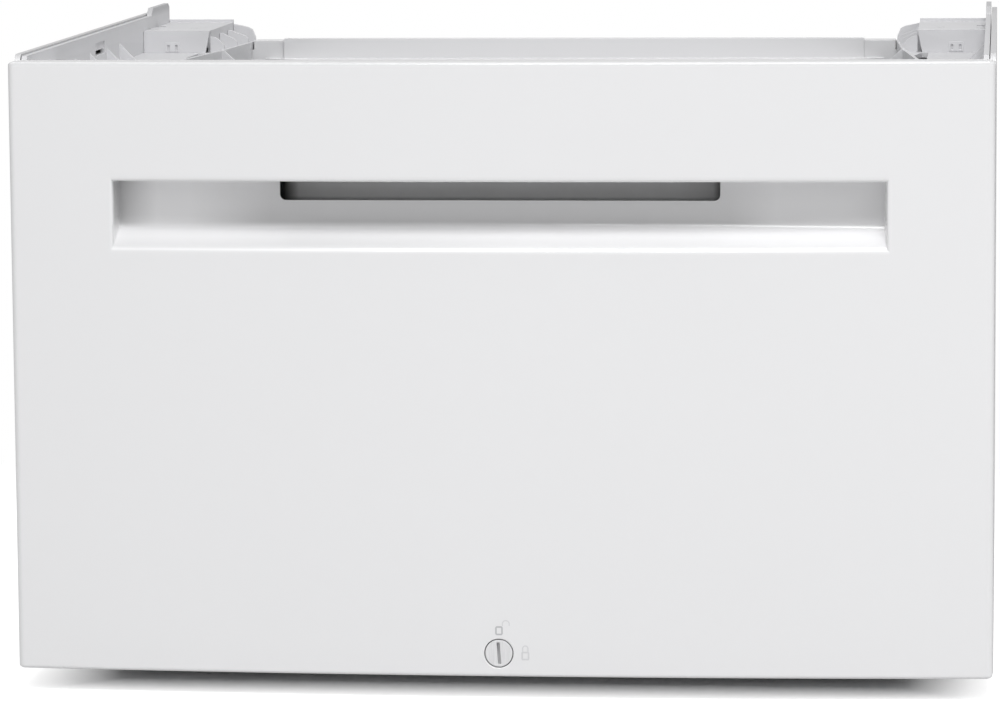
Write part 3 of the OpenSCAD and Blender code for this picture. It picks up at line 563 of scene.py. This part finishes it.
    # rounded edges and returns round the outline
    loop = [(i, 0, 0, 1) for i in range(nx)] + [(nx - 1, j, 1, 0) for j in range(nr)] + \
           [(i, nr - 1, 0, -1) for i in range(nx - 1, -1, -1)] + [(0, j, -1, 0) for j in range(nr - 1, -1, -1)]
    out = []                       # (vertex, direction angle)
    for idx, (i, j, dx, dz) in enumerate(loop):
        a = math.atan2(dz, dx)
        if out and out[-1][0] is V[i][j]:
            a0 = out[-1][1]
            for k in range(1, 6):
                out.append((V[i][j], a0 - math.pi / 2 * k / 6))
            out.append((V[i][j], a0 - math.pi / 2))
        else:
            out.append((V[i][j], a))
    first = out[0][1]
    if out[-1][0] is not out[0][0]:
        out.append((out[0][0], math.pi))
    a0 = math.pi
    for k in range(1, 6):
        out.append((out[0][0], a0 - math.pi / 2 * k / 6))
    m = len(out)
    base = [v for v, a in out]
    prev = base
    RX, RZ = HW - 294.7, 2.0
    for k in range(1, 8):
        if k <= 6:
            f = math.pi / 2 * k / 6
            s, c = math.sin(f), 1 - math.cos(f)
        cur = []
        for (v, a) in out:
            ca, sa = math.cos(a), math.sin(a)
            x, z = v.co.x / MM, v.co.z / MM
            r = math.sqrt((RX * ca) ** 2 + (RZ * sa) ** 2)
            y = v.co.y / MM + r * c if k <= 6 else YB
            cur.append(bm.verts.new(((x + RX * ca * s) * MM, y * MM, (z + RZ * sa * s) * MM)))
        for t in range(m):
            f_ = [prev[t], prev[(t + 1) % m], cur[(t + 1) % m], cur[t]]
            f_ = [v for n_, v in enumerate(f_) if v not in f_[:n_]]
            if len(f_) > 2:
                bm.faces.new(f_)
        prev = cur
    bmesh.ops.remove_doubles(bm, verts=bm.verts, dist=2e-6)
    o = new_object("front_panel_shell", bm, M_FRONT, "drawer", 50)
    # the surface faces outwards before it gets its wall
    bmx = bmesh.new()
    bmx.from_mesh(o.data)
    up = sum(f.normal.y * f.calc_area() for f in bmx.faces)
    if up > 0:
        bmesh.ops.reverse_faces(bmx, faces=bmx.faces)
        bmx.to_mesh(o.data)
    bmx.free()
    sol = o.modifiers.new("wall", "SOLIDIFY")
    sol.thickness = 0.0018
    sol.offset = -1.0
    sol.use_rim = True
    apply_modifiers(o)
    o.data.set_sharp_from_angle(angle=math.radians(50))
    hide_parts("drawer_front_panel")
    return o


front_panel()


# ---------------------------------------------------------------- lock knob and its two symbols
def bridge(bm, loops, cap_first=True, cap_last=True):
    n = len(loops[0])
    V = [[bm.verts.new(Vector(p) * MM) for p in lp] for lp in loops]
    for a, b in zip(V, V[1:]):
        for k in range(n):
            bm.faces.new((a[k], a[(k + 1) % n], b[(k + 1) % n], b[k]))
    if cap_first:
        bm.faces.new(list(reversed(V[0])))
    if cap_last:
        bm.faces.new(V[-1])
    return V


def slot_outline(w, h, r, n, tilt):
    """Rounded rectangle as n points by arc length, from the middle of the right side."""
    pts = []
    for k in range(9):
        a = math.pi / 2 * k / 8
        pts.append((w / 2 - r + r * math.cos(a), h / 2 - r + r * math.sin(a)))
    q = [(w / 2, 0.0)] + pts + [(0.0, h / 2)]
    quarter = n // 4
    d = [0.0]
    for a, b in zip(q, q[1:]):
        d.append(d[-1] + math.hypot(b[0] - a[0], b[1] - a[1]))
    out = []
    for k in range(quarter):
        t = d[-1] * k / quarter
        i = max(j for j in range(len(d) - 1) if d[j] <= t + 1e-9)
        u = (t - d[i]) / max(1e-9, d[i + 1] - d[i])
        out.append((q[i][0] + (q[i + 1][0] - q[i][0]) * u, q[i][1] + (q[i + 1][1] - q[i][1]) * u))
    top = [(-x, z) for x, z in [(0.0, h / 2)] + out[:0:-1]]
    full = out + top
    full = full + [(-x, -z) for x, z in full]
    c, s_ = math.cos(tilt), math.sin(tilt)
    return [(x * c - z * s_, x * s_ + z * c) for x, z in full]


def lock_knob():
    n = 96
    ang = [2 * math.pi * k / n for k in range(n)]

    def ring(r, y):
        return [(r * math.cos(a), y, ZL + r * math.sin(a)) for a in ang]

    tilt = math.radians(4.0)
    face = YF + 0.3

    def outline(grow, y):
        return [(x, y, ZL + z) for x, z in slot_outline(1.9 + 2 * grow, 13.4 + 2 * grow, 0.35 + max(grow, 0) * 0.6, n, tilt)]

    loops = [ring(6.6, YB - 2.2), ring(7.0, YB - 2.6), ring(7.0, YF + 6.5), ring(8.2, YF + 6.5), ring(8.4, YF + 6.3), ring(8.4, face + 0.55)]
    for k in range(1, 6):
        a = math.pi / 2 * k / 5
        loops.append(ring(8.4 - 0.55 + 0.55 * math.cos(a), face + 0.55 - 0.55 * math.sin(a)))
    rim, edge = ring(7.85, face), outline(0.22, face)
    for t in (0.25, 0.6):
        loops.append([tuple(p[i] + (q[i] - p[i]) * t for i in range(3)) for p, q in zip(rim, edge)])
    loops += [edge, outline(0.12, face + 0.02), outline(0.04, face + 0.09), outline(0.0, face + 0.22),
              outline(0.0, face + 2.2), outline(-0.12, face + 2.45)]
    bm = bmesh.new()
    bridge(bm, loops)
    o = new_object("lock_knob_turned", bm, M_KNOB, "lock", 40)
    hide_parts("lock_knob")
    return o


lock_knob()


def band(bm, pts, w, closed):
    """Flat printed line of width w along pts (x, z), lying on the crowned face, 0.05 mm thick."""
    n = len(pts)
    L, Rr = [], []
    for k in range(n):
        a = pts[(k - 1) % n] if closed or k else pts[k]
        b = pts[(k + 1) % n] if closed or k < n - 1 else pts[k]
        dx, dz = b[0] - a[0], b[1] - a[1]
        h = math.hypot(dx, dz)
        nx, nz = -dz / h * w / 2, dx / h * w / 2
        L.append((pts[k][0] + nx, pts[k][1] + nz))
        Rr.append((pts[k][0] - nx, pts[k][1] - nz))

    def put(p, dy):
        return bm.verts.new((p[0] * MM, (y_front(p[0]) + dy) * MM, (ZL + p[1]) * MM))

    rows_ = [[put(p, -0.012) for p in L], [put(p, -0.012) for p in Rr], [put(p, 0.04) for p in Rr], [put(p, 0.04) for p in L]]
    for k in range(n if closed else n - 1):
        k2 = (k + 1) % n
        for a, b in ((0, 1), (1, 2), (2, 3), (3, 0)):
            bm.faces.new((rows_[a][k], rows_[a][k2], rows_[b][k2], rows_[b][k]))
    if not closed:
        bm.faces.new([rows_[a][0] for a in range(4)])
        bm.faces.new([rows_[a][-1] for a in (3, 2, 1, 0)])


def rounded(cx, cz, w, h, r):
    pts = []
    for sx, sz, a0 in ((1, 1, 0), (-1, 1, 90), (-1, -1, 180), (1, -1, 270)):
        for k in range(5):
            a = math.radians(a0 + 90 * k / 4)
            pts.append((cx + sx * (w / 2 - r) + r * math.cos(a), cz + sz * (h / 2 - r) + r * math.sin(a)))
    return pts


def arc(cx, cz, r, a0, a1, legs=()):
    pts = [(cx + r * math.cos(math.radians(a0 + (a1 - a0) * k / 14)), cz + r * math.sin(math.radians(a0 + (a1 - a0) * k / 14))) for k in range(15)]
    return list(legs[:1]) + pts + list(legs[1:])


bm = bmesh.new()
band(bm, rounded(0.2, 14.0, 3.7, 4.6, 0.7), 0.95, True)
o = new_object("lock_symbol_open_body", bm, M_PRINT, "drawer", 30)
bm = bmesh.new()
band(bm, arc(4.4, 18.2, 2.1, 185, -5, ((2.31, 16.8), (6.49, 17.0))), 0.65, False)
o = new_object("lock_symbol_open_shackle", bm, M_PRINT_FAINT, "drawer", 30)
bm = bmesh.new()
band(bm, rounded(16.2, -1.4, 3.9, 4.3, 0.4), 1.0, True)
band(bm, arc(16.2, 3.2, 1.6, 180, 0, ((14.6, 1.3), (17.8, 1.3))), 0.75, False)
o = new_object("lock_symbol_closed", bm, M_PRINT_FAINT, "drawer", 30)


# ---------------------------------------------------------------- camera, light and floor
def aim(o, target):
    o.rotation_mode = "QUATERNION"
    o.rotation_quaternion = (Vector(target) - o.location).to_track_quat("-Z", "Y")


cam = bpy.data.objects.new("camera", bpy.data.cameras.new("camera"))
COL.objects.link(cam)
cam.location = (0.30191, -3.1923, 0.57575)
cam.rotation_euler = (1.44782, 0.00738, 0.10167)
cam.data.sensor_width = 36.0
cam.data.lens = 176.03
cam.data.clip_start, cam.data.clip_end = 0.1, 60.0
bpy.context.scene.camera = cam


def area(name, loc, target, size, power, color=(1, 1, 1)):
    l = bpy.data.lights.new(name, "AREA")
    l.shape = "RECTANGLE"
    l.size, l.size_y = size
    l.energy = power
    l.color = color
    o = bpy.data.objects.new(name, l)
    COL.objects.link(o)
    o.location = loc
    aim(o, target)
    return o


area("top_front", (0.35, -1.65, 2.9), (0.05, -0.25, 0.25), (1.7, 0.9), 61)
area("right_fill", (2.9, -2.2, 1.9), (0, -0.25, 0.25), (1.4, 1.4), 14)
area("overhead", (0.0, 0.2, 3.0), (0, 0.0, 0.3), (2.4, 1.8), 12)

w = bpy.data.worlds.new("studio")
w.use_nodes = True
w.node_tree.nodes["Background"].inputs[0].default_value = (1.0, 1.0, 1.0, 1)
w.node_tree.nodes["Background"].inputs[1].default_value = 0.55
bpy.context.scene.world = w

me = bpy.data.meshes.new("floor")
bmf = bmesh.new()
bmesh.ops.create_grid(bmf, x_segments=24, y_segments=24, size=20.0)
bmf.to_mesh(me)
bmf.free()
floor = bpy.data.objects.new("floor", me)
COL.objects.link(floor)
fm, nt, b = tree("pale_floor")
nt.nodes.remove(b)
lp = nt.nodes.new("ShaderNodeLightPath")
seen = maprange(nt, lp.outputs["Is Camera Ray"], 0.0, 1.0, 0.62, 2.4)
comb = nt.nodes.new("ShaderNodeCombineColor")
for i in range(3):
    nt.links.new(seen, comb.inputs[i])
dif = nt.nodes.new("ShaderNodeBsdfDiffuse")
nt.links.new(comb.outputs[0], dif.inputs["Color"])
# painted light: beyond the object's footprint the floor glows white to the camera, fading the object's shadow out
# within a few centimetres of it
fsep = nt.nodes.new("ShaderNodeSeparateXYZ")
nt.links.new(coords(nt), fsep.inputs[0])
fx = math_(nt, "SUBTRACT", math_(nt, "ABSOLUTE", fsep.outputs[0]), 0.255)
fy = math_(nt, "SUBTRACT", math_(nt, "ABSOLUTE", fsep.outputs[1]), 0.235)
away = math_(nt, "MAXIMUM", fx, fy)
floor_shadow_fill = math_(nt, "ADD", maprange(nt, away, -0.010, 0.045, 0.0, 0.76), maprange(nt, away, 0.04, 0.45, 0.0, 0.24))
glow = nt.nodes.new("ShaderNodeEmission")
glow.inputs["Strength"].default_value = 1.0
both = nt.nodes.new("ShaderNodeMixShader")
nt.links.new(math_(nt, "MULTIPLY", floor_shadow_fill, lp.outputs["Is Camera Ray"]), both.inputs[0])
nt.links.new(dif.outputs[0], both.inputs[1])
nt.links.new(glow.outputs[0], both.inputs[2])
nt.links.new(both.outputs[0], [n for n in nt.nodes if n.type == "OUTPUT_MATERIAL"][0].inputs[0])
me.materials.append(fm)

sc = bpy.context.scene
sc.view_settings.view_transform = "Standard"
sc.view_settings.look = "None"
sc.view_settings.exposure = 0.0
sc.view_settings.gamma = 1.0
